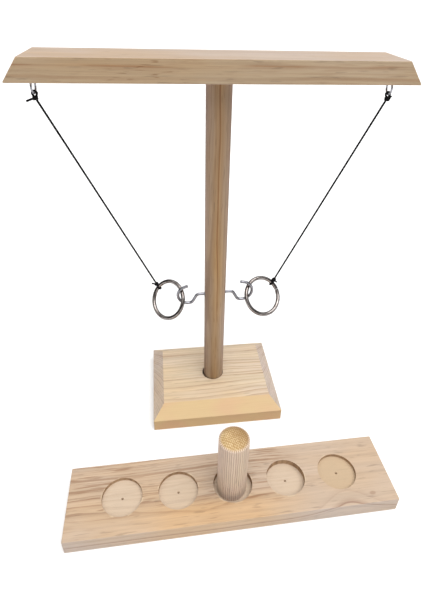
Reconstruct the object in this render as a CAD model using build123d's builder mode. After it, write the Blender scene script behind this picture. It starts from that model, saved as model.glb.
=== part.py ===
from build123d import *
import os
from math import cos, radians, sin

# Tabletop ring toss set, in millimetres, +Z up. The table is Z = 0 and the origin is the middle of the
# whole set on the table. The stand is at the back and the score board lies in front of it, towards -Y.

# ---- driving dimensions ----
POST_Y = 58.8            # post axis, behind the origin

BASE_W, BASE_D = 142.0, 112.0        # plinth
BASE_H, BASE_RIM = 25.0, 14.0        # full height, and height of the upright rim
BEVEL_SIDE, BEVEL_FRONT = 12.0, 15.0
BASE_TURN = 0.8                      # degrees, how far the plinth sits off square
SOCKET_R, SOCKET_FLOOR = 12.2, 9.0   # loose round socket for the post
SOCKET_SHIFT = (-0.7, 0.4)           # the dowel leans against one side of its socket

POST_R = 11.0
BEAM_L, BEAM_D, BEAM_H = 320.0, 50.0, 17.8
BEAM_Z = 353.8                       # underside of the beam
BEAM_END = 13.0                      # how far each slanted end runs in
BEAM_SOCKET = 10.0                   # depth that the post goes into the beam

SCREW_R, SCREW_HEAD_R, SCREW_L = 2.0, 4.0, 28.0
SCREW_HOLE_R, SCREW_SINK_R = 2.5, 5.0
SCREW_LIFT = 0.8                     # the head is sunk this far above the table
DRIVE_L, DRIVE_W, DRIVE_DEPTH = 4.2, 0.9, 1.3        # cross recess in the head

EYE_X = 145.0                        # screw eyes, either side of the post
EYE_LOOP_R, EYE_WIRE_R = 5.1, 0.8
EYE_Z = 347.0                        # centre of the loop
EYE_TURN = {"left": 85.4, "right": 89.2}    # degrees, loop plane from the beam's length
EYE_SHANK = 11.0

HOOK_Z = {"left": 140.5, "right": 142.3}
HOOK_WIRE_R, HOOK_BEND_R = 1.5, 4.5
HOOK_REACH, HOOK_DIP, HOOK_DROP = 16.1, 62.0, 6.8    # level, then down at DIP degrees for DROP, then level
HOOK_SOLE = 1.2
HOOK_R = {"left": 10.4, "right": 11.0}               # the open curl, back towards the post
HOOK_CURL = {"left": 158.0, "right": 172.0}
HOOK_TIP = {"left": 4.0, "right": 3.3}
HOOK_SHANK = 8.5

RING_R, RING_WIRE_R = 19.7, 2.05
RING_SEAM = 1.4                      # degrees left open where the wire's ends meet
RING_AT = {"left": (-49.2, 6.8, 130.0), "right": (51.6, 0.9, 133.4)}    # centre, from the post axis
RING_TURN = {"left": -46.5, "right": 26.0}      # degrees about Z
RING_LEAN = {"left": 31.2, "right": 39.2}       # degrees, top leaning back
RING_KNOT = {"left": 159.0, "right": 30.0}      # where the cord is tied, round the ring
RING_ENDS = {"left": 173.0, "right": 5.0}       # where the wire's ends meet

CORD_R = 0.9
EYE_TIE_R, RING_TIE_R = 2.4, 3.05    # the cord's bight round the eye's wire and the ring's wire
KNOT_R, WRAP_R, WRAP_STEP = 2.1, 1.0, 1.7            # outside, and its two turns of cord
EYE_KNOT_DROP = 3.4                  # each knot's centre from the middle of its wire
RING_KNOT_GAP = {"left": 4.8, "right": 4.4}
TAILS = {"left": ((-0.93, 0.1, -0.35), 5.7), "right": ((0.75, -0.35, 0.5), 1.6)}    # loose end at the eye
STUBS = {"left": ((-0.9, -0.3, 0.33), 3.0), "right": ((0.62, -0.72, -0.3), 2.4)}    # loose end at the ring

BOARD_L, BOARD_D, BOARD_H = 304.0, 69.0, 17.0
BOARD_AT = (5.3, -137.3)             # from the post axis
BOARD_TURN = 1.4                     # degrees
RECESS_R, RECESS_STEP = 18.5, 51.5
RECESS_DEPTHS = (3.5, 4.0, 6.0, 6.0, 3.5)    # bored by hand, left to right; the peg stands in the middle one
SPUR_R, SPUR_DEPTH = 1.3, 1.2        # centre mark that the boring bit leaves

PEG_R, PEG_TOP, PEG_DOME = 13.8, 86.5, 3.6
PEG_SHIFT = -1.2                     # the peg stands loose in its recess
FLUTES, FLUTE_R = 44, 0.55

EDGE = 0.7                           # sanded edges
FIT = 0.05                           # clearance round a driven dowel, screw or wire

UPWARD = (Align.CENTER, Align.CENTER, Align.MIN)
DOWNWARD = (Align.CENTER, Align.CENTER, Align.MAX)

SIDES = {"left": -1, "right": 1}
os.makedirs("parts", exist_ok=True)


def save(part, label):
    part.label = label
    export_step(part, f"parts/{label}.step")


def unit(v):
    return v * (1 / v.length)


def ring_plane(side):
    """The ring's own plane: x level, y up the lean."""
    turn, lean = radians(RING_TURN[side]), radians(RING_LEAN[side])
    x = Vector(cos(turn), sin(turn), 0)
    back = Vector(-sin(turn), cos(turn), 0)
    up = Vector(0, 0, 1) * cos(lean) + back * sin(lean)
    at = Vector(*RING_AT[side]) + Vector(0, POST_Y, 0)
    return Plane(origin=at, x_dir=x, z_dir=x.cross(up))


def eye_bottom(side):
    """Middle of the eye's wire at the lowest point of its loop."""
    return Vector(SIDES[side] * EYE_X, POST_Y, EYE_Z - EYE_LOOP_R)


def ring_tie(side):
    """(middle of the ring's wire where it is tied, the wire's direction there)."""
    plane, a = ring_plane(side), radians(RING_KNOT[side])
    at = plane.from_local_coords(Vector(RING_R * cos(a), RING_R * sin(a), 0))
    along = plane.x_dir * -sin(a) + plane.y_dir * cos(a)
    return at, along


def cord_ends(side):
    """(centre of the knot at the eye, centre of the knot at the ring, direction down the cord)."""
    top = eye_bottom(side) - Vector(0, 0, EYE_KNOT_DROP)
    ring_wire, _ = ring_tie(side)
    down = unit(ring_wire - top)
    return top, ring_wire - down * RING_KNOT_GAP[side], down


def ridged_shank(length, r, pitch=1.6):
    """Half profile of a wood-screw shank along +Y from the origin, drawn for a revolve about Y."""
    turns = int(length * 0.75 / pitch)
    with BuildLine() as line:
        points = [(0, 0), (r * 0.75, 0), (r * 0.75, length * 0.2)]
        for i in range(turns):
            y = length * 0.2 + i * pitch
            points += [(r, y + pitch * 0.5), (r * 0.72, y + pitch)]
        points += [(0, length)]
        Polyline(*points, close=True)
    return line


def wire_step(at, heading, kind, size, bend):
    """Draw one run or arc of bent wire, headings in degrees; returns (where it ends, its new heading)."""
    way, turned = radians(heading), radians(heading + bend)
    if kind == "run":
        end = (at[0] + size * cos(way), at[1] + size * sin(way))
        Line(at, end)
    else:
        r = size if bend > 0 else -size
        end = (at[0] + r * (sin(turned) - sin(way)), at[1] - r * (cos(turned) - cos(way)))
        JernArc(at, (cos(way), sin(way)), size, bend)
    return end, heading + bend


# ---- plinth ----
base_plane = Plane(
    origin=(0, POST_Y, 0), x_dir=(cos(radians(BASE_TURN)), sin(radians(BASE_TURN)), 0), z_dir=(0, 0, 1)
)
with BuildPart() as base:
    with BuildSketch(base_plane):
        Rectangle(BASE_W, BASE_D)
    extrude(amount=BASE_RIM)
    with BuildSketch(base_plane.offset(BASE_RIM)):
        Rectangle(BASE_W, BASE_D)
    with BuildSketch(base_plane.offset(BASE_H)):
        Rectangle(BASE_W - 2 * BEVEL_SIDE, BASE_D - 2 * BEVEL_FRONT)
    loft()
    fillet(base.edges(), EDGE)
    with BuildSketch(Plane.XY.offset(BASE_H)):
        with Locations((SOCKET_SHIFT[0], POST_Y + SOCKET_SHIFT[1])):
            Circle(SOCKET_R)
    extrude(amount=SOCKET_FLOOR - BASE_H, mode=Mode.SUBTRACT)
    with Locations((0, POST_Y, 0)):
        Cylinder(SCREW_HOLE_R, SOCKET_FLOOR + 1, align=UPWARD, mode=Mode.SUBTRACT)
    with BuildSketch(Plane.XZ.offset(-POST_Y)):
        Polygon((0, 0), (SCREW_SINK_R, 0), (SCREW_SINK_R, 1.2), (SCREW_HOLE_R, 4.6), (0, 4.6), align=None)
    revolve(axis=Axis((0, POST_Y, 0), (0, 0, 1)), mode=Mode.SUBTRACT)
save(base.part, "base")

# ---- countersunk screw, threaded up into the post ----
post_bottom = SOCKET_FLOOR + 0.25
with BuildPart() as base_screw:
    with BuildSketch(Plane.XZ.offset(-POST_Y)):
        Polygon(
            (0, SCREW_LIFT),
            (SCREW_HEAD_R, SCREW_LIFT),
            (SCREW_HEAD_R, SCREW_LIFT + 0.7),
            (SCREW_R, SCREW_LIFT + 2.9),
            (SCREW_R, post_bottom),
            (SCREW_R * 0.8, post_bottom + 0.4),
            (SCREW_R * 0.8, SCREW_L - 3),
            (0, SCREW_L),
            align=None,
        )
    revolve(axis=Axis((0, POST_Y, 0), (0, 0, 1)))
    with BuildSketch(Plane.XY.offset(SCREW_LIFT)):
        with Locations((0, POST_Y)):
            Rectangle(DRIVE_L, DRIVE_W)
            Rectangle(DRIVE_W, DRIVE_L)
    extrude(amount=DRIVE_DEPTH, mode=Mode.SUBTRACT)
save(base_screw.part, "base_screw")

# ---- post ----
with BuildPart() as post:
    with BuildSketch(Plane.XY.offset(post_bottom)):
        with Locations((0, POST_Y)):
            Circle(POST_R)
    extrude(amount=BEAM_Z + BEAM_SOCKET - post_bottom)
    chamfer(post.edges().filter_by(GeomType.CIRCLE), 0.8)
    with Locations((0, POST_Y, post_bottom)):
        Cylinder(SCREW_R + FIT, SCREW_L - post_bottom + 0.5, align=UPWARD, mode=Mode.SUBTRACT)
    for side, way in SIDES.items():
        with Locations(Plane(origin=(way * POST_R * 1.1, POST_Y, HOOK_Z[side]), z_dir=(-way, 0, 0))):
            Cylinder(HOOK_WIRE_R + FIT, HOOK_SHANK + POST_R * 0.1 + 0.3, align=UPWARD, mode=Mode.SUBTRACT)
save(post.part, "post")

# ---- crossbeam ----
with BuildPart() as crossbeam:
    with BuildSketch(Plane.XZ.offset(-POST_Y - BEAM_D / 2)):
        half = BEAM_L / 2
        Polygon(
            (-half, BEAM_Z),
            (half, BEAM_Z),
            (half - BEAM_END, BEAM_Z + BEAM_H),
            (-half + BEAM_END, BEAM_Z + BEAM_H),
            align=None,
        )
    extrude(amount=BEAM_D)
    fillet(crossbeam.edges(), EDGE)
    with Locations((0, POST_Y, BEAM_Z - 1)):
        Cylinder(POST_R + FIT, BEAM_SOCKET + 1 + FIT, align=UPWARD, mode=Mode.SUBTRACT)
    with Locations(*[(way * EYE_X, POST_Y, BEAM_Z - 1) for way in SIDES.values()]):
        Cylinder(EYE_WIRE_R + FIT, EYE_SHANK + 1.4, align=UPWARD, mode=Mode.SUBTRACT)
save(crossbeam.part, "crossbeam")

# ---- screw eyes ----
for side, way in SIDES.items():
    turn = radians(EYE_TURN[side])
    loop = Plane(
        origin=(way * EYE_X, POST_Y, EYE_Z),
        x_dir=(cos(turn), sin(turn), 0),
        z_dir=(sin(turn), -cos(turn), 0),
    )
    with BuildPart() as eye:
        with BuildLine(loop):
            arc = CenterArc((0, 0), EYE_LOOP_R, 90, 342)
        with BuildSketch(Plane(origin=arc @ 0, z_dir=arc % 0)):
            Circle(EYE_WIRE_R)
        sweep()
        loop_top = (way * EYE_X, POST_Y, EYE_Z + EYE_LOOP_R)
        with BuildSketch(Plane(origin=loop_top, x_dir=(1, 0, 0), z_dir=(0, -1, 0))):
            make_face(ridged_shank(BEAM_Z + EYE_SHANK - loop_top[2], EYE_WIRE_R, 1.2).line)
        revolve(axis=Axis((way * EYE_X, POST_Y, 0), (0, 0, 1)))
    save(eye.part, f"{side}_eye_screw")

# ---- wire hooks: a dip down, then an open curl that points back to the post ----
for side, way in SIDES.items():
    plane = Plane(origin=(0, POST_Y, HOOK_Z[side]), x_dir=(way, 0, 0), z_dir=(0, -way, 0))
    with BuildPart() as hook:
        with BuildLine(plane):
            at, heading = (HOOK_REACH, 0), 0
            Line((POST_R, 0), at)
            for kind, size, bend in (
                ("arc", HOOK_BEND_R, -HOOK_DIP),
                ("run", HOOK_DROP, 0),
                ("arc", HOOK_BEND_R, HOOK_DIP),
                ("run", HOOK_SOLE, 0),
                ("arc", HOOK_R[side], HOOK_CURL[side]),
                ("run", HOOK_TIP[side], 0),
            ):
                at, heading = wire_step(at, heading, kind, size, bend)
        entry = (way * POST_R, POST_Y, HOOK_Z[side])
        with BuildSketch(Plane(origin=entry, z_dir=(way, 0, 0))):
            Circle(HOOK_WIRE_R)
        sweep()
        with BuildSketch(Plane(origin=entry, x_dir=(0, 0, 1), z_dir=(0, -way, 0))):
            make_face(ridged_shank(HOOK_SHANK, HOOK_WIRE_R).line)
        revolve(axis=Axis((0, POST_Y, HOOK_Z[side]), (1, 0, 0)))
    save(hook.part, f"{side}_hook")


# ---- rings: round wire, butted where its ends meet ----
for side in SIDES:
    with BuildPart() as ring:
        with BuildLine(ring_plane(side)):
            arc = CenterArc((0, 0), RING_R, RING_ENDS[side] + RING_SEAM / 2, 360 - RING_SEAM)
        with BuildSketch(Plane(origin=arc @ 0, z_dir=arc % 0)):
            Circle(RING_WIRE_R)
        sweep()
    save(ring.part, f"{side}_ring")


# ---- knots: a bight round the wire, a two-turn knot with a hole for the cord, and a loose end ----
knots = {}
for side, way in SIDES.items():
    top, bottom, down = cord_ends(side)
    at, along = ring_tie(side)
    eye_turn = radians(EYE_TURN[side])
    # the bight at the eye lies halfway between the wire and the axis that the cord swings about
    swing_axis = unit(Vector(0, 0, -way).cross(down))
    eye_way = unit(swing_axis + Vector(cos(eye_turn), sin(eye_turn), 0))
    knots[f"{side}_beam_knot"] = (eye_bottom(side), eye_way, EYE_TIE_R, top, down, *TAILS[side])
    knots[f"{side}_ring_knot"] = (at, along, RING_TIE_R, bottom, down * -1, *STUBS[side])

for label, (wire_at, round_axis, tie_r, knot_at, cord_way, tail_way, tail_l) in knots.items():
    side_way = unit(cord_way.cross(Vector(0.31, 0.87, 0.38)))
    tail_way = unit(Vector(*tail_way))
    with BuildPart() as knot:
        with BuildSketch(Plane(origin=knot_at, x_dir=side_way, z_dir=side_way.cross(cord_way))):
            with Locations((KNOT_R - WRAP_R, -WRAP_STEP / 2), (KNOT_R - WRAP_R, WRAP_STEP / 2)):
                Circle(WRAP_R)
            Rectangle(KNOT_R - WRAP_R, 2 * WRAP_STEP, align=(Align.MIN, Align.CENTER))
            Rectangle(KNOT_R, 6, align=(Align.MAX, Align.CENTER), mode=Mode.SUBTRACT)
        revolve(axis=Axis(knot_at, cord_way))
        with BuildSketch(Plane(origin=knot_at + tail_way * 0.6, z_dir=tail_way)):
            Circle(CORD_R * 0.9)
        extrude(amount=tail_l + KNOT_R)
        with Locations(Plane(origin=wire_at, z_dir=round_axis)):
            Torus(tie_r, CORD_R)
        with BuildSketch(Plane(origin=knot_at + cord_way * (KNOT_R - WRAP_R), z_dir=cord_way)):
            Circle(CORD_R + 0.03)
        extrude(amount=6, mode=Mode.SUBTRACT)
    save(knot.part, label)

# ---- cords, straight from knot to knot ----
for side in SIDES:
    top, bottom, down = cord_ends(side)
    inset = KNOT_R - 0.9
    with BuildPart() as cord:
        with BuildSketch(Plane(origin=top + down * inset, z_dir=down)):
            Circle(CORD_R)
        extrude(amount=(bottom - top).length - 2 * inset)
    save(cord.part, f"{side}_cord")

# ---- score board ----
turn = radians(BOARD_TURN)
board_plane = Plane(
    origin=(BOARD_AT[0], POST_Y + BOARD_AT[1], 0), x_dir=(cos(turn), sin(turn), 0), z_dir=(0, 0, 1)
)
with BuildPart() as score_board:
    with BuildSketch(board_plane):
        Rectangle(BOARD_L, BOARD_D)
    extrude(amount=BOARD_H)
    fillet(score_board.edges(), EDGE)
    for i, depth in enumerate(RECESS_DEPTHS):
        with Locations(board_plane.offset(BOARD_H - depth)):
            with Locations(((i - 2) * RECESS_STEP, 0)):
                Cylinder(RECESS_R, depth, align=UPWARD, mode=Mode.SUBTRACT)
                Cone(0.1, SPUR_R, SPUR_DEPTH, align=DOWNWARD, mode=Mode.SUBTRACT)
save(score_board.part, "score_board")

# ---- marker peg: fluted all round, domed on top ----
peg_at = board_plane.from_local_coords(Vector(PEG_SHIFT, 0, BOARD_H - RECESS_DEPTHS[2] + 0.05))
peg_h = PEG_TOP - peg_at.Z
with BuildPart() as marker_peg:
    with BuildSketch(Plane(origin=peg_at)):
        Circle(PEG_R)
        with PolarLocations(PEG_R, FLUTES):
            Circle(FLUTE_R, mode=Mode.SUBTRACT)
    extrude(amount=peg_h)
    with BuildSketch(Plane(origin=peg_at, x_dir=(1, 0, 0), z_dir=(0, -1, 0))):
        with BuildLine():
            Polyline((0, peg_h), (0, 0), (PEG_R - 0.8, 0), (PEG_R + 0.2, 1), (PEG_R + 0.2, peg_h - PEG_DOME))
            ThreePointArc(
                (PEG_R + 0.2, peg_h - PEG_DOME), (PEG_R * 0.8, peg_h - PEG_DOME * 0.42), (0, peg_h)
            )
        make_face()
    revolve(axis=Axis(peg_at, (0, 0, 1)), mode=Mode.INTERSECT)
save(marker_peg.part, "marker_peg")
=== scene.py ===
from math import atan2, cos, pi, radians, sin

import bmesh
import bpy
from mathutils import Matrix, Vector


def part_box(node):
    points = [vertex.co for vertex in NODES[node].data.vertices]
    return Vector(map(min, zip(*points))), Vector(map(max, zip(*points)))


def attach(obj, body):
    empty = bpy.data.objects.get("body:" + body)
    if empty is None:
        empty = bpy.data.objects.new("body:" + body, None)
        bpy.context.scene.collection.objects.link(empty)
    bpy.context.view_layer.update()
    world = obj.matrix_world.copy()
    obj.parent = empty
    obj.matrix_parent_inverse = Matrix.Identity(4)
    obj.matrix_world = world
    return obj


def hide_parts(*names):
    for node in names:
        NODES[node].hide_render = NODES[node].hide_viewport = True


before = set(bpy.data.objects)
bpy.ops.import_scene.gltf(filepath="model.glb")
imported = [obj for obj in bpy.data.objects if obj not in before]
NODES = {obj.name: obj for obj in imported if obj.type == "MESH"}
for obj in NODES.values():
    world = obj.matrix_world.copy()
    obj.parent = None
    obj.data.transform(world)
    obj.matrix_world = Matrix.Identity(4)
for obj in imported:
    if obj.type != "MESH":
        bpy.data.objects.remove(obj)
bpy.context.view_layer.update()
SIDES = ("left", "right")
MM = 0.001


def middle(node):
    """Centre of a CAD node's box."""
    lo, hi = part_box(node)
    return (lo + hi) / 2


# ---- camera and light ----

CAMERA_AT = (-0.04377, -0.32553, 0.42268)
CAMERA_YAW, CAMERA_PITCH, CAMERA_ROLL = 0.1356, 0.5653, -0.0329
SENSOR_WIDTH, LENS, LENS_SHIFT = 36, 27.158, (-0.02, -0.06)
ROOM_LIGHT = 0.95
HORIZON = (0.04, 0.04, 0.045)


def aim(yaw, pitch, roll):
    """Camera rotation from its heading right of +Y, its tilt down and its roll, in radians."""
    right = Vector((cos(yaw), -sin(yaw), 0))
    ahead = Vector((sin(yaw) * cos(pitch), cos(yaw) * cos(pitch), -sin(pitch)))
    down = ahead.cross(right)
    x = right * cos(roll) + down * sin(roll)
    y = right * sin(roll) - down * cos(roll)
    return Matrix((x, y, -ahead)).transposed()


def set_camera():
    data = bpy.data.cameras.new("camera")
    data.sensor_fit = "AUTO"
    data.sensor_width = SENSOR_WIDTH
    data.lens = LENS
    data.shift_x, data.shift_y = LENS_SHIFT
    data.clip_start, data.clip_end = 0.01, 200
    camera = bpy.data.objects.new("camera", data)
    turn = aim(CAMERA_YAW, CAMERA_PITCH, CAMERA_ROLL).to_4x4()
    camera.matrix_world = Matrix.Translation(CAMERA_AT) @ turn
    bpy.context.scene.collection.objects.link(camera)
    bpy.context.scene.camera = camera


def add_sun(name, towards, strength, spread):
    """Soft directional light; towards points from the object to the light."""
    data = bpy.data.lights.new(name, "SUN")
    data.energy = strength
    data.angle = radians(spread)
    sun = bpy.data.objects.new(name, data)
    sun.rotation_euler = Vector(towards).to_track_quat("Z", "Y").to_euler()
    bpy.context.scene.collection.objects.link(sun)


def set_world():
    """White room: bright overhead, dark round the horizon, plain white where it is seen directly."""
    world = bpy.data.worlds.new("room")
    bpy.context.scene.world = world
    world.use_nodes = True
    tree = world.node_tree
    tree.nodes.clear()
    link = tree.links.new
    coord = tree.nodes.new("ShaderNodeTexCoord")
    split = tree.nodes.new("ShaderNodeSeparateXYZ")
    link(coord.outputs["Generated"], split.inputs[0])
    ramp = tree.nodes.new("ShaderNodeValToRGB")
    ramp.color_ramp.elements[0].position = 0.0
    ramp.color_ramp.elements[0].color = (*HORIZON, 1)
    ramp.color_ramp.elements[1].position = 0.85
    ramp.color_ramp.elements[1].color = (1, 1, 1, 1)
    for at, level in ((0.38, 0.06), (0.62, 0.85)):
        ramp.color_ramp.elements.new(at).color = (level, level, level, 1)
    link(split.outputs["Z"], ramp.inputs[0])
    room = tree.nodes.new("ShaderNodeBackground")
    link(ramp.outputs[0], room.inputs["Color"])
    room.inputs["Strength"].default_value = ROOM_LIGHT
    seen = tree.nodes.new("ShaderNodeBackground")
    seen.inputs["Color"].default_value = (1, 1, 1, 1)
    path = tree.nodes.new("ShaderNodeLightPath")
    mix = tree.nodes.new("ShaderNodeMixShader")
    link(path.outputs["Is Camera Ray"], mix.inputs[0])
    link(room.outputs[0], mix.inputs[1])
    link(seen.outputs[0], mix.inputs[2])
    out = tree.nodes.new("ShaderNodeOutputWorld")
    link(mix.outputs[0], out.inputs["Surface"])


set_camera()
set_world()
add_sun("key", towards=(0.22, -0.28, 1), strength=2.7, spread=60)
add_sun("fill", towards=(-0.5, -1.0, 0.8), strength=0.25, spread=90)
bpy.context.scene.view_settings.view_transform = "Standard"


# ---- node trees ----

class Look:
    """A material under construction: short names for the nodes that it uses."""

    def __init__(self, name):
        self.material = bpy.data.materials.new(name)
        self.material.use_nodes = True
        self.tree = self.material.node_tree
        self.tree.nodes.clear()
        self.shader = self.node("ShaderNodeBsdfPrincipled")
        out = self.node("ShaderNodeOutputMaterial")
        self.tree.links.new(self.shader.outputs[0], out.inputs["Surface"])

    def node(self, kind, inputs=None, **settings):
        made = self.tree.nodes.new(kind)
        for key, value in settings.items():
            setattr(made, key, value)
        for key, value in (inputs or {}).items():
            self.put(made.inputs[key], value)
        return made

    def put(self, socket, value):
        if isinstance(value, bpy.types.NodeSocket):
            self.tree.links.new(value, socket)
        else:
            if socket.type == "RGBA" and len(value) == 3:
                value = (*value, 1)
            socket.default_value = value

    def set(self, **values):
        for key, value in values.items():
            self.put(self.shader.inputs[key.replace("_", " ")], value)
        return self.material

    def object_point(self):
        return self.node("ShaderNodeTexCoord").outputs["Object"]

    def math(self, operation, a, b=0.0, clamp=False):
        return self.node("ShaderNodeMath", {0: a, 1: b}, operation=operation, use_clamp=clamp).outputs[0]

    def product(self, first, *others):
        for other in others:
            first = self.math("MULTIPLY", first, other)
        return first

    def vector(self, operation, a, b=(0, 0, 0)):
        made = self.node("ShaderNodeVectorMath", {0: a}, operation=operation)
        self.put(made.inputs["Scale"] if operation == "SCALE" else made.inputs[1], b)
        return made.outputs["Value" if operation == "LENGTH" else "Vector"]

    def split(self, vector):
        return self.node("ShaderNodeSeparateXYZ", {0: vector}).outputs

    def turned(self, point, angle):
        """A point turned about Z."""
        inputs = {"Vector": point, "Angle": angle}
        return self.node("ShaderNodeVectorRotate", inputs, rotation_type="Z_AXIS").outputs[0]

    def join(self, x, y, z):
        return self.node("ShaderNodeCombineXYZ", {0: x, 1: y, 2: z}).outputs[0]

    def noise(self, point, scale=1.0, detail=2.0, rough=0.5):
        inputs = {"Vector": point, "Scale": scale, "Detail": detail, "Roughness": rough}
        return self.node("ShaderNodeTexNoise", inputs)

    def stretched(self, point, scales, detail=1.0, rough=0.5, output=0):
        """Noise with a scale of its own for each axis."""
        return self.noise(self.vector("MULTIPLY", point, scales), 1.0, detail, rough).outputs[output]

    def line_noise(self, at, scale):
        inputs = {"W": at, "Scale": scale, "Detail": 1.0}
        return self.node("ShaderNodeTexNoise", inputs, noise_dimensions="1D").outputs[0]

    def fit(self, value, low, high, to_low=0.0, to_high=1.0, kind="LINEAR"):
        inputs = {0: value, 1: low, 2: high, 3: to_low, 4: to_high}
        return self.node("ShaderNodeMapRange", inputs, interpolation_type=kind).outputs[0]

    def ramp(self, value, stops):
        made = self.node("ShaderNodeValToRGB", {0: value})
        elements = made.color_ramp.elements
        while len(elements) < len(stops):
            elements.new(1.0)
        for element, (at, level) in zip(elements, stops):
            element.position = at
            element.color = (*level, 1) if hasattr(level, "__len__") else (level, level, level, 1)
        return made.outputs[0]

    def mix(self, share, a, b, blend="MIX"):
        made = self.node("ShaderNodeMix", data_type="RGBA", blend_type=blend)
        for socket, value in ((made.inputs[0], share), (made.inputs[6], a), (made.inputs[7], b)):
            self.put(socket, value)
        return made.outputs[2]

    def bump(self, height, distance, strength=1.0):
        inputs = {"Height": height, "Distance": distance, "Strength": strength}
        return self.node("ShaderNodeBump", inputs).outputs[0]


# ---- pine ----

WOOD_BUMP = 0.00012
KNOT_TONE = (0.20, 0.085, 0.035)
GROWTH_RING = ((0.0, 0.0), (0.35, 0.06), (0.68, 0.45), (0.86, 1.0), (0.93, 0.8), (1.0, 0.0))


def pine(name, grain, centre, turn, pith, step, tones, wander, contrast=1.0, streaks=0.3,
         knots=(), strength=None, extra=None):
    """Solid pine. The growth rings are cylinders about the pith, which runs along the grain, X or Z, so
    each face shows the grain that a cut there would. pith is its place across the grain from centre, step
    the width of a growth ring, and tones the early wood, late wood, warm patches and pale patches. wander is
    how far the rings stray, in slow bends and in ripples, and streaks how dark the short streaks are. knots
    are a place from the centre, a size and a darkness. strength says where the late wood and streaks show,
    0 to 1, and extra may change the colour, height and roughness with what it knows of the piece."""
    look = Look(name)
    moved = look.vector("SUBTRACT", look.object_point(), tuple(centre))
    if turn:
        moved = look.turned(moved, -radians(turn))
    x, y, z = look.split(moved)
    across_a, across_b, along = (y, z, x) if grain == "X" else (x, y, z)
    point = look.join(across_a, across_b, along)

    # the rings wander: slowly along the grain, faster across it
    drift = look.stretched(point, (16, 16, 4.5), output="Color")
    ripple = look.stretched(point, (120, 120, 22), detail=2.0, output="Color")
    bent = point
    for swirl, reach in zip((drift, ripple), wander):
        stray = look.vector("SCALE", look.vector("SUBTRACT", swirl, (0.5, 0.5, 0.5)), reach * 4)
        bent = look.vector("ADD", bent, stray)
    a, b, _ = look.split(bent)
    off_pith = look.join(look.math("SUBTRACT", a, pith[0]), look.math("SUBTRACT", b, pith[1]), 0.0)
    radius = look.vector("LENGTH", off_pith)

    knot_mask = None
    for (kx, ky, kz), size, darkness in knots:
        place = (ky, kz, kx) if grain == "X" else (kx, ky, kz)
        away = look.vector("MULTIPLY", look.vector("SUBTRACT", bent, place), (1.0, 1.0, 0.6))
        far = look.vector("LENGTH", away)
        radius = look.math("ADD", radius, look.fit(far, 0.0, size * 5, step * 1.6, 0.0, "SMOOTHSTEP"))
        core = look.fit(far, size * 0.45, size, darkness, 0.0, "SMOOTHSTEP")
        knot_mask = core if knot_mask is None else look.math("MAXIMUM", knot_mask, core)

    turns = look.math("DIVIDE", radius, step)
    turns = look.math("ADD", turns, look.math("MULTIPLY", look.line_noise(turns, 0.9), 1.1))
    phase = look.math("FRACT", turns)
    ring_number = {"W": look.math("FLOOR", turns)}
    each = look.node("ShaderNodeTexWhiteNoise", ring_number, noise_dimensions="1D").outputs[0]
    each = look.fit(each, 0.0, 1.0, 0.35, 1.0)
    patchy = look.fit(look.stretched(point, (60, 60, 9)), 0.3, 0.7, 0.35, 1.0)
    shown = strength(look, (x, y, z)) if strength else 1.0
    late = look.product(look.ramp(phase, GROWTH_RING), each, patchy, shown)

    # fibres, and the short dark dashes of cut resin ducts
    fibre = look.stretched(point, (1500, 1500, 26), detail=3.0, rough=0.65)
    coarse = look.stretched(point, (420, 420, 11), detail=2.0, rough=0.6)
    duct = look.fit(look.stretched(point, (900, 900, 75), detail=0.0), 0.70, 0.80)
    streak = look.product(look.fit(look.stretched(bent, (560, 560, 34)), 0.56, 0.68), shown, streaks)
    blotch = look.stretched(point, (26, 26, 8), detail=2.0)
    tint = look.stretched(point, (38, 38, 14), output="Color")
    early_tone, late_tone, warm_tone, pale_tone = tones
    colour = look.mix(look.fit(blotch, 0.42, 0.68), early_tone, warm_tone)
    colour = look.mix(look.fit(look.split(tint)[1], 0.48, 0.72, 0.0, 0.8), colour, pale_tone)
    colour = look.mix(look.math("MULTIPLY", late, contrast, clamp=True), colour, late_tone)
    shade = look.math("ADD", look.fit(fibre, 0.3, 0.7, -0.06, 0.05), look.fit(coarse, 0.3, 0.7, -0.08, 0.07))
    shade = look.math("SUBTRACT", look.math("ADD", shade, 1.0), look.math("MULTIPLY", duct, 0.22))
    colour = look.mix(1.0, colour, look.join(shade, shade, shade), "MULTIPLY")
    colour = look.mix(streak, colour, late_tone)
    if knot_mask is not None:
        colour = look.mix(knot_mask, colour, KNOT_TONE)
    height = look.math("ADD", look.math("MULTIPLY", fibre, 0.5), look.math("MULTIPLY", late, 0.5))
    height = look.math("SUBTRACT", height, look.math("MULTIPLY", duct, 0.4))
    rough = look.math("ADD", look.fit(coarse, 0.3, 0.7, 0.56, 0.70), look.math("MULTIPLY", late, -0.08))
    if extra:
        colour, height, rough = extra(look, (x, y, z), colour, height, rough)
    normal = look.bump(height, WOOD_BUMP)
    return look.set(Base_Color=colour, Roughness=rough, Normal=normal, Specular_IOR_Level=0.35)


def facing(look, axis):
    """The surface's own direction along an axis, -1 to 1."""
    return look.split(look.node("ShaderNodeNewGeometry").outputs["Normal"])["XYZ".index(axis)]


def glaze(look, share, colour, tone):
    """Tint the colour without hiding its grain."""
    return look.mix(share, colour, look.mix(1.0, colour, tone, "MULTIPLY"))


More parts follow.
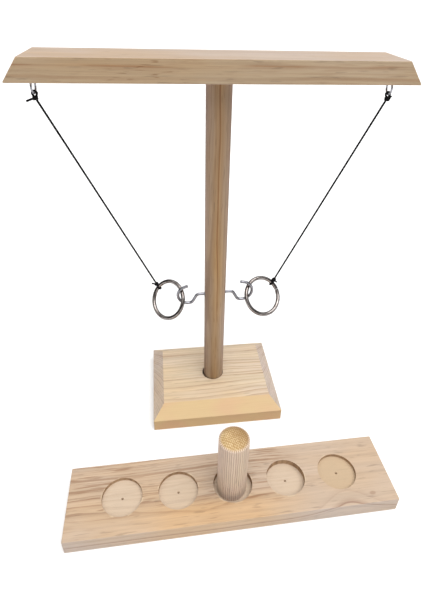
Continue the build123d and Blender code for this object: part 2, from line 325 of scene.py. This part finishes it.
# What each wooden piece shows beyond plain pine. Places are from the middle of the piece, but HOOK_LEVEL
# is the height above the table.
BASE_HALF_DEPTH, BASE_FRONT_BEVEL = 0.056, 0.015
BEAM_LINE_Z, BEAM_DASHES_X = 0.0036, -0.058
HOOK_LEVEL = {"left": 0.1405, "right": 0.1423}
PILOT_HOLE_R, PILOT_HOLE_BLUR = 0.0034, 0.0008
BOARD_HALF_DEPTH, BOARD_GOLD_X = 0.0345, -0.012
BOARD_HUMP_X, BOARD_HUMP_WIDTH, BOARD_HUMP_RISE = 0.104, 0.030, 0.0112
RECESS_R, RECESS_STEP, BORING_FEED = 0.0185, 0.0515, 0.0009
PEG_FLUTES, CROWN_R, CROWN_BLUR = 44, 0.0122, 0.0006
CROWN_ROWS, CROWN_TURN = (640, 500, 1), 0.55


def base_extra(look, place, colour, height, rough):
    """The front bevel lies inside one broad golden ring; the side bevels are greyer end grain."""
    _, y, _ = place
    edge = -BASE_HALF_DEPTH + BASE_FRONT_BEVEL
    front = look.fit(y, edge + 0.0002, edge - 0.0002)
    ends = look.fit(look.math("ABSOLUTE", facing(look, "X")), 0.3, 0.6)
    cloud = look.stretched(look.join(*place), (22, 40, 40))
    gold = look.mix(look.fit(cloud, 0.45, 0.65), (0.575, 0.41, 0.205), (0.58, 0.375, 0.205))
    calm = look.math("MULTIPLY", front, look.math("SUBTRACT", 1.0, ends))
    colour = look.mix(look.math("MULTIPLY", calm, 0.85), colour, gold)
    # Painted shade: the front-facing vertical faces, found by their facing, are glazed darker and warmer.
    rim = look.fit(look.math("MULTIPLY", facing(look, "Y"), -1.0), 0.85, 0.95)
    colour = glaze(look, rim, colour, (0.86, 0.80, 0.74))
    return glaze(look, ends, colour, (0.86, 0.88, 1.02)), height, rough


def beam_strength(look, place):
    """Late wood is plain on the long faces and faint on the sanded top."""
    return look.fit(facing(look, "Z"), 0.4, 0.7, 1.0, 0.4)


def beam_extra(look, place, colour, height, rough):
    """Long faces: painted shade and a yellower tone of their own, one reddish growth line near the top edge,
    a few short dashes.
    """
    x, _, z = place
    side = look.fit(look.math("ABSOLUTE", facing(look, "Y")), 0.6, 0.85)
    drift = look.math("MULTIPLY", look.math("SUBTRACT", look.line_noise(x, 11.0), 0.5), 0.004)
    off = look.math("SUBTRACT", look.math("SUBTRACT", z, BEAM_LINE_Z), drift)
    profile = ((0.0, 0.0), (0.45, 0.35), (0.62, 1.0), (0.8, 0.25), (1.0, 0.0))
    fade = look.fit(look.line_noise(look.math("ADD", x, 3.1), 17.0), 0.38, 0.62, 0.15, 1.0)
    line = look.product(look.ramp(look.fit(off, -0.0034, 0.0022), profile), fade, side)
    # Painted shade with a yellower tone of their own: the long faces, found by their facing, are glazed
    # darker.
    colour = glaze(look, side, colour, (0.86, 0.80, 0.64))
    colour = glaze(look, line, colour, (0.72, 0.56, 0.46))
    dash = look.fit(look.stretched(look.join(*place), (90, 1000, 1000), detail=0.0), 0.64, 0.74)
    spot = look.fit(look.math("ABSOLUTE", look.math("SUBTRACT", x, BEAM_DASHES_X)), 0.012, 0.034, 1.0, 0.12)
    dash = look.product(dash, spot, side)
    return glaze(look, dash, colour, (0.70, 0.62, 0.56)), height, rough


def post_extra(look, place, colour, height, rough):
    """A golden heart stripe with one thin dark line down the front, greyer sides, painted shade near the top
    and in the pilot holes.
    """
    x, y, z = place
    sway = look.math("MULTIPLY", look.math("SUBTRACT", look.line_noise(z, 9.0), 0.5), 0.004)
    off = look.math("ADD", x, sway)
    heart = look.fit(look.math("ABSOLUTE", off), 0.0015, 0.0065, 1.0, 0.0, "SMOOTHSTEP")
    colour = glaze(look, heart, colour, (1.04, 0.95, 0.76))
    off_line = look.math("ABSOLUTE", look.math("SUBTRACT", off, 0.0004))
    line = look.fit(off_line, 0.0002, 0.0011, 1.0, 0.0, "SMOOTHSTEP")
    line = look.math("MULTIPLY", line, look.fit(z, -0.09, 0.02, 0.25, 1.0))
    colour = glaze(look, line, colour, (0.68, 0.52, 0.40))
    flank = look.fit(look.math("ABSOLUTE", x), 0.006, 0.0105)
    colour = glaze(look, flank, colour, (0.93, 0.90, 1.0))
    # Painted shade: darker towards the top, under the beam.
    colour = glaze(look, look.fit(z, -0.03, 0.175, 0.0, 1.0, "SMOOTHSTEP"), colour, (0.76, 0.72, 0.68))
    for side, way in (("left", -1), ("right", 1)):
        level = HOOK_LEVEL[side] - middle("post").z
        far = look.vector("LENGTH", look.join(y, look.math("SUBTRACT", z, level), 0.0))
        edge = (PILOT_HOLE_R - PILOT_HOLE_BLUR, PILOT_HOLE_R + PILOT_HOLE_BLUR)
        # Painted shade: a near-black disc where each screw enters, for the hole round it.
        painted_hole_shade = look.fit(far, *edge, 1.0, 0.0, "SMOOTHSTEP")
        painted_hole_shade = look.math("MULTIPLY", painted_hole_shade, look.fit(x, 0.0, way * 0.002, 0.0, 0.9))
        colour = look.mix(painted_hole_shade, colour, (0.05, 0.022, 0.012))
    return colour, height, rough


def board_strength(look, place):
    """Late wood shows as thin streaks at the back and left, and the front and right are calm."""
    x, y, _ = place
    right = look.fit(x, 0.035, 0.085, 1.0, 0.10, "SMOOTHSTEP")
    front = look.fit(y, -0.026, -0.012, 0.15, 1.0, "SMOOTHSTEP")
    return look.math("MULTIPLY", right, front)


def board_extra(look, place, colour, height, rough):
    """A golden patch at the front, a growth line that runs along the front edge and humps over it near the
    right, and freshly cut recess floors, paler, with the rings of the boring bit, inside walls painted dark
    brown as shade."""
    x, y, z = place
    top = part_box("score_board")[1].z / 2
    gold = look.math("ABSOLUTE", look.math("SUBTRACT", x, BOARD_GOLD_X))
    gold = look.fit(gold, 0.03, 0.095, 1.0, 0.0, "SMOOTHSTEP")
    gold = look.math("MULTIPLY", look.fit(y, -0.006, -0.020, 0.0, 1.0, "SMOOTHSTEP"), gold)
    colour = glaze(look, gold, colour, (1.07, 0.97, 0.80))
    # Painted light: the front-facing edge, found by its facing, is glazed lighter and bluer.
    rim = look.fit(look.math("MULTIPLY", facing(look, "Y"), -1.0), 0.6, 0.9)
    colour = glaze(look, rim, colour, (1.06, 1.13, 1.26))
    hump = look.math("DIVIDE", look.math("SUBTRACT", x, BOARD_HUMP_X), BOARD_HUMP_WIDTH)
    hump = look.math("EXPONENT", look.product(hump, hump, -1.0))
    sway = look.math("MULTIPLY", look.math("SUBTRACT", look.line_noise(x, 14.0), 0.5), 0.0025)
    crest = look.math("ADD", look.math("ADD", look.math("MULTIPLY", hump, BOARD_HUMP_RISE), sway), -0.0015)
    rise = look.math("ADD", z, look.math("MULTIPLY", look.math("ADD", y, BOARD_HALF_DEPTH), 0.55))
    for drop, depth in ((0.0, 1.0), (0.0040, 0.35), (-0.0062, 0.25)):
        off = look.math("ADD", look.math("SUBTRACT", rise, crest), drop)
        line = look.ramp(look.fit(off, -0.0007, 0.0028), ((0.0, 0.0), (0.2, 1.0), (0.34, 0.45), (1.0, 0.0)))
        colour = glaze(look, look.math("MULTIPLY", line, depth), colour, (0.58, 0.47, 0.44))

    nearest = look.math("MULTIPLY", look.math("ROUND", look.math("DIVIDE", x, RECESS_STEP)), RECESS_STEP)
    far = look.vector("LENGTH", look.join(look.math("SUBTRACT", x, nearest), y, 0.0))
    above_foot = look.fit(z, -top + 0.001, -top + 0.002)
    near = look.math("MULTIPLY", look.fit(far, RECESS_R + 0.0004, RECESS_R + 0.0002), above_foot)
    up = look.fit(facing(look, "Z"), 0.3, 0.6)
    floor = look.product(near, up, look.fit(z, top - 0.0012, top - 0.0016))
    wall = look.math("MULTIPLY", near, look.math("SUBTRACT", 1.0, up))
    cut = look.math("SINE", look.math("MULTIPLY", far, 2 * pi / BORING_FEED))
    fresh = look.mix(look.fit(x, 0.075, 0.085), (0.535, 0.425, 0.315), (0.47, 0.345, 0.215))
    colour = look.mix(look.math("MULTIPLY", floor, 0.72), colour, fresh)
    shade = look.math("ADD", 1.0, look.product(cut, floor, 0.02))
    colour = look.mix(1.0, colour, look.join(shade, shade, shade), "MULTIPLY")
    # Painted shade: a dark dot in the middle of each recess floor, for the spur hole of the boring bit.
    spur = look.math("MULTIPLY", look.fit(far, 0.0006, 0.0014, 1.0, 0.0), floor)
    colour = look.mix(look.math("MULTIPLY", spur, 0.85), colour, (0.14, 0.08, 0.035))
    # Painted shade: the recess walls are coloured dark brown, unevenly.
    wall_shade_noise = look.stretched(look.join(*place), (260, 260, 90))
    painted_wall_shade = look.mix(look.fit(wall_shade_noise, 0.35, 0.65), (0.25, 0.14, 0.07), (0.42, 0.27, 0.15))
    colour = look.mix(look.math("MULTIPLY", wall, 0.85), colour, painted_wall_shade)
    off_lip = look.math("ABSOLUTE", look.math("SUBTRACT", far, RECESS_R + 0.0004))
    lip = look.product(look.fit(off_lip, 0.0003, 0.0008, 1.0, 0.0), look.fit(z, top - 0.0006, top - 0.0003))
    lip = look.math("MULTIPLY", lip, look.math("LESS_THAN", look.math("ABSOLUTE", x), 2.45 * RECESS_STEP))
    torn = look.fit(look.noise(look.join(*place), 120.0, 1.0).outputs[0], 0.56, 0.66)
    colour = look.mix(look.product(lip, torn, 0.45), colour, (0.62, 0.50, 0.34))
    height = look.math("ADD", height, look.product(cut, floor, 0.35))
    return colour, height, rough


def peg_extra(look, place, colour, height, rough):
    """End grain on the crown: golden, with cut fibres in rows of cream dots, inside a paler sanded rim;
    painted shade in the flutes and notches, and painted light to the front left.
    """
    x, y, _ = place
    up = look.fit(facing(look, "Z"), 0.45, 0.7)
    far = look.vector("LENGTH", look.join(x, y, 0.0))
    # Painted shade: the flute grooves, and their notches at the crown's edge, are coloured darker.
    groove = look.math("COSINE", look.math("MULTIPLY", look.math("ARCTAN2", y, x), PEG_FLUTES))
    groove = look.fit(groove, 0.1, 0.9)
    colour = glaze(look, groove, colour, (0.74, 0.66, 0.66))
    tooth = look.product(groove, up, look.fit(far, 0.0110, 0.0126))
    colour = look.mix(tooth, colour, (0.34, 0.20, 0.075))
    disc = look.math("MULTIPLY", up, look.fit(far, CROWN_R + CROWN_BLUR, CROWN_R - CROWN_BLUR))
    rows = look.vector("MULTIPLY", look.turned(look.join(x, y, 0.0), CROWN_TURN), CROWN_ROWS)
    cells = {"Vector": rows, "Scale": 1.0, "Randomness": 0.3}
    dots = look.node("ShaderNodeTexVoronoi", cells, voronoi_dimensions="2D").outputs["Distance"]
    dots = look.fit(dots, 0.22, 0.46, 1.0, 0.0)
    # Painted light: the crown's ground and dots are lighter towards the front left and darker to the right.
    crown_painted_light = look.fit(look.math("SUBTRACT", look.math("MULTIPLY", y, -0.6), x), -0.010, 0.009)
    bright = look.fit(look.noise(look.join(x, y, 0.0), 160.0, 1.0).outputs[0], 0.35, 0.65, 0.45, 1.0)
    bright = look.math("MULTIPLY", bright, look.fit(crown_painted_light, 0.0, 1.0, 0.3, 1.0))
    ground = look.mix(crown_painted_light, (0.27, 0.145, 0.040), (0.40, 0.245, 0.085))
    golden = look.mix(look.math("MULTIPLY", dots, bright), ground, (0.80, 0.63, 0.38))
    colour = look.mix(look.math("MULTIPLY", disc, 0.95), colour, golden)
    height = look.math("ADD", height, look.product(dots, disc, 1.5))
    return colour, height, rough


def finish_node(node, material):
    NODES[node].material_slots[0].material = material


finish_node("base", pine(
    "pine_base", grain="X", centre=middle("base"), turn=0.8, pith=(-0.085, -0.200), step=0.0017,
    tones=((0.60, 0.485, 0.345), (0.44, 0.31, 0.205), (0.63, 0.47, 0.29), (0.62, 0.50, 0.385)),
    wander=(0.0016, 0.00025), contrast=1.8, streaks=0.2, knots=(((0.064, -0.040, 0.008), 0.0011, 0.7),),
    extra=base_extra,
))
finish_node("post", pine(
    "pine_post", grain="Z", centre=middle("post"), turn=0, pith=(0.035, 0.030), step=0.0042,
    tones=((0.375, 0.265, 0.170), (0.22, 0.135, 0.080), (0.375, 0.250, 0.135), (0.385, 0.285, 0.205)),
    wander=(0.002, 0.0003), extra=post_extra,
))
finish_node("crossbeam", pine(
    "pine_beam", grain="X", centre=middle("crossbeam"), turn=0, pith=(-0.030, -0.160), step=0.0036,
    tones=((0.475, 0.380, 0.305), (0.35, 0.235, 0.160), (0.465, 0.345, 0.245), (0.495, 0.405, 0.345)),
    wander=(0.0016, 0.0003), knots=(((0.003, 0.006, 0.008), 0.0011, 0.7),), strength=beam_strength,
    extra=beam_extra,
))
finish_node("score_board", pine(
    "pine_board", grain="X", centre=middle("score_board"), turn=1.4, pith=(-0.025, -0.050), step=0.0017,
    tones=((0.465, 0.350, 0.255), (0.26, 0.150, 0.085), (0.475, 0.335, 0.215), (0.475, 0.365, 0.275)),
    wander=(0.0022, 0.0004), contrast=1.2, streaks=0.75, knots=(((0.128, -0.026, 0.0085), 0.0024, 0.35),),
    strength=board_strength, extra=board_extra,
))
finish_node("marker_peg", pine(
    "pine_peg", grain="Z", centre=middle("marker_peg"), turn=0, pith=(0.012, 0.030), step=0.0030,
    tones=((0.66, 0.525, 0.430), (0.54, 0.40, 0.315), (0.63, 0.51, 0.38), (0.70, 0.565, 0.50)),
    wander=(0.001, 0.0002), contrast=0.5, extra=peg_extra,
))


# ---- metals ----

def metal(name, colour, dull, edge, rough, spots, drawn):
    """Bare wire: fine drawing lines, small stains, uneven roughness and a darker gloss at its edges."""
    look = Look(name)
    point = look.object_point()
    stain = look.noise(point, spots, 3.0, 0.6).outputs[0]
    fine = look.noise(point, drawn, 2.0, 0.6).outputs[0]
    tone = look.mix(look.fit(stain, 0.45, 0.72), colour, dull)
    roughness = look.fit(stain, 0.3, 0.7, rough * 0.8, rough * 1.3)
    roughness = look.math("ADD", roughness, look.fit(fine, 0.3, 0.7, -0.02, 0.03))
    return look.set(Base_Color=tone, Metallic=1.0, Roughness=roughness, Specular_Tint=edge,
                    Normal=look.bump(fine, 0.00003, 0.5))


zinc = metal(
    "zinc_wire", colour=(0.34, 0.34, 0.37), dull=(0.17, 0.17, 0.19), edge=(0.05, 0.05, 0.06),
    rough=0.26, spots=420.0, drawn=2600.0,
)
nickel = metal(
    "nickel_ring", colour=(0.33, 0.30, 0.285), dull=(0.10, 0.075, 0.065), edge=(0.01, 0.009, 0.008),
    rough=0.12, spots=160.0, drawn=3000.0,
)
for node in NODES:
    if node.endswith(("_hook", "_screw")):
        finish_node(node, zinc)
    elif node.endswith("_ring"):
        finish_node(node, nickel)


# ---- cords and their knots ----

CORD_R = 0.9 * MM
TIE_R = 0.94 * CORD_R
STRAND_PITCH = 2.2 * MM
YARN_DARK, YARN_LIT = (0.003, 0.003, 0.003), (0.010, 0.010, 0.011)


def braid(name, length):
    """Black braided cord: two crossing helices of yarn, from the curve's own coordinates."""
    look = Look(name)
    along, round_it, _ = look.split(look.node("ShaderNodeTexCoord").outputs["UV"])
    along = look.math("MULTIPLY", along, 2 * pi * length / STRAND_PITCH)
    round_it = look.math("MULTIPLY", round_it, 2 * pi * 4)
    one = look.math("SINE", look.math("ADD", along, round_it))
    other = look.math("SINE", look.math("SUBTRACT", along, round_it))
    yarn = look.math("MAXIMUM", one, other)
    fuzz = look.noise(look.object_point(), 5200.0, 2.0, 0.6).outputs[0]
    tone = look.mix(look.fit(look.math("ADD", yarn, fuzz), -0.2, 1.6), YARN_DARK, YARN_LIT)
    normal = look.bump(look.math("ADD", look.math("MULTIPLY", yarn, 0.6), fuzz), 0.0001, 0.7)
    rough = look.fit(fuzz, 0.3, 0.7, 0.75, 0.92)
    return look.set(Base_Color=tone, Roughness=rough, Normal=normal, Specular_IOR_Level=0.12)


def strand(name, points, radius):
    """A cord as one smooth NURBS curve through the space between its points."""
    data = bpy.data.curves.new(name, "CURVE")
    data.dimensions = "3D"
    data.bevel_depth = radius
    data.bevel_resolution = 5
    data.resolution_u = 10
    data.use_fill_caps = True
    spline = data.splines.new("NURBS")
    spline.points.add(len(points) - 1)
    for control, place in zip(spline.points, points):
        control.co = (*place, 1)
    spline.order_u = 3
    spline.use_endpoint_u = True
    piece = bpy.data.objects.new(name, data)
    bpy.context.scene.collection.objects.link(piece)
    return piece


KNOT_R, KNOT_INSET = 2.1 * MM, 1.2 * MM
BIGHT_SPREAD = 0.75 * MM        # of the bight's two ends, each to its side
WRAP_R, WRAP_SWELL = 1.35 * MM, 0.3 * MM
WRAP_TOP, WRAP_FALL = 1.5 * MM, 2.8 * MM
WRAP_CLEAR = 2.1 * MM           # least drop from the wire's middle to the first wrap
WRAP_END, WRAP_STEP = 4 * pi, radians(42)


def tie(name, wire, wire_way, bight, knot, cord_way, tail, tail_length):
    """A cord end tied round a wire: a bight over the wire, about two wraps below it, and a loose end.
    cord_way points from the knot's middle along the cord."""
    reach = (wire - knot).length
    up = (wire - knot).normalized()
    wire_way = wire_way.normalized()
    over = (up - wire_way * up.dot(wire_way)).normalized()
    beside = wire_way.cross(over)
    tail = tail.normalized()
    out = (tail - up * tail.dot(up)).normalized()
    turn = up.cross(out)
    approach = up * (reach - bight) * 0.9
    points = [knot + cord_way * 1.5 * MM, knot + up * 0.3 * MM, knot + approach + beside * BIGHT_SPREAD]
    for angle in range(-45, 226, 45):       # over the wire, from one side to the other
        points.append(wire + (beside * cos(radians(angle)) + over * sin(radians(angle))) * bight)
    points.append(knot + approach - beside * BIGHT_SPREAD)
    start = atan2(-beside.dot(turn), -beside.dot(out))
    count = round((WRAP_END - start) / WRAP_STEP)
    top = min(WRAP_TOP, reach - WRAP_CLEAR)
    for i in range(count + 1):
        share = i / count
        angle = start + share * (WRAP_END - start)
        width = WRAP_R + WRAP_SWELL * sin(pi * share)
        points.append(knot + (out * cos(angle) + turn * sin(angle)) * width + up * (top - WRAP_FALL * share))
    # the last wrap leads into the loose end
    points.append(knot + out * 1.9 * MM + turn * 0.7 * MM - up * 0.7 * MM)
    points.append(knot + tail * (KNOT_R + tail_length * 0.35))
    points.append(knot + tail * (KNOT_R + tail_length * 0.8) + turn * 0.15 * MM)
    points.append(knot + tail * (KNOT_R + tail_length))
    return strand(name, points, TIE_R)


# Each cord is straight: its ends are inside the knots, with a point about 6 diameters from each.
ROUTES = {
    "left": ((-0.14453, 0.05892, 0.33740), (-0.14034, 0.06003, 0.32751),
             (-0.06573, 0.07974, 0.15143), (-0.06154, 0.08084, 0.14153)),
    "right": ((0.14455, 0.05888, 0.33739), (0.14047, 0.05958, 0.32742),
              (0.07040, 0.07170, 0.15618), (0.06632, 0.07241, 0.14621)),
}
EYE_WIRES = {"left": (-0.145, 0.0588, 0.3419), "right": (0.145, 0.0588, 0.3419)}
EYE_TURNS = {"left": 85.4, "right": 89.2}
RING_WIRES = {"left": (-0.05921, 0.08146, 0.13604), "right": (0.06420, 0.07277, 0.14103)}
RING_WAYS = {"left": (-0.5975, -0.0730, -0.7986), "right": (-0.6893, 0.2728, 0.6711)}
TAILS = {"left": ((-0.93, 0.10, -0.35), 0.0057), "right": ((0.75, -0.35, 0.50), 0.0016)}
STUBS = {"left": ((-0.90, -0.30, 0.33), 0.0030), "right": ((0.62, -0.72, -0.30), 0.0024)}
EYE_KNOT_DROP = 3.4 * MM
EYE_BIGHT, RING_BIGHT = 2.0 * MM, 3.2 * MM      # to the control points; the curve lies 0.92 as far out

cord_look = braid("black_cord", 0.21)
tie_look = braid("black_cord_knot", 0.05)
for side in SIDES:
    route = [Vector(place) for place in ROUTES[side]]
    down = (route[-1] - route[0]).normalized()
    cord = strand(f"{side}_tied_cord", route, CORD_R)
    ties = []
    eye_wire, eye_turn = Vector(EYE_WIRES[side]), radians(EYE_TURNS[side])
    swing_axis = Vector((0, 0, 1 if side == "left" else -1)).cross(down).normalized()
    eye_way = swing_axis + Vector((cos(eye_turn), sin(eye_turn), 0))
    for end, wire, wire_way, bight, knot, cord_way, (tail, tail_length) in (
        ("eye", eye_wire, eye_way, EYE_BIGHT,
         eye_wire - Vector((0, 0, EYE_KNOT_DROP)), down, TAILS[side]),
        ("ring", Vector(RING_WIRES[side]), Vector(RING_WAYS[side]), RING_BIGHT,
         route[-1] + down * KNOT_INSET, -down, STUBS[side]),
    ):
        piece = tie(f"{side}_{end}_tie", wire, wire_way, bight, knot, cord_way, Vector(tail), tail_length)
        piece.data.materials.append(tie_look)
        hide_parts(f"{side}_beam_knot" if end == "eye" else f"{side}_ring_knot")
        ties.append(piece)
    cord.data.materials.append(cord_look)
    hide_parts(f"{side}_cord")
    for piece in (cord, *ties):
        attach(piece, f"{side}_line")


# ---- floor ----

FLOOR_REACH = 40.0


def add_floor(reach):
    shape = bmesh.new()
    bmesh.ops.create_circle(shape, cap_ends=True, segments=64, radius=reach)
    mesh = bpy.data.meshes.new("floor")
    shape.to_mesh(mesh)
    shape.free()
    floor = bpy.data.objects.new("floor", mesh)
    bpy.context.scene.collection.objects.link(floor)
    look = Look("floor_paint")
    grain = look.noise(look.object_point(), 900.0, 2.0).outputs[0]
    mesh.materials.append(look.set(
        Base_Color=look.mix(look.fit(grain, 0.3, 0.7), (0.89, 0.89, 0.89), (0.91, 0.91, 0.91)), Roughness=0.9,
        Specular_IOR_Level=0.1,
    ))


add_floor(FLOOR_REACH)
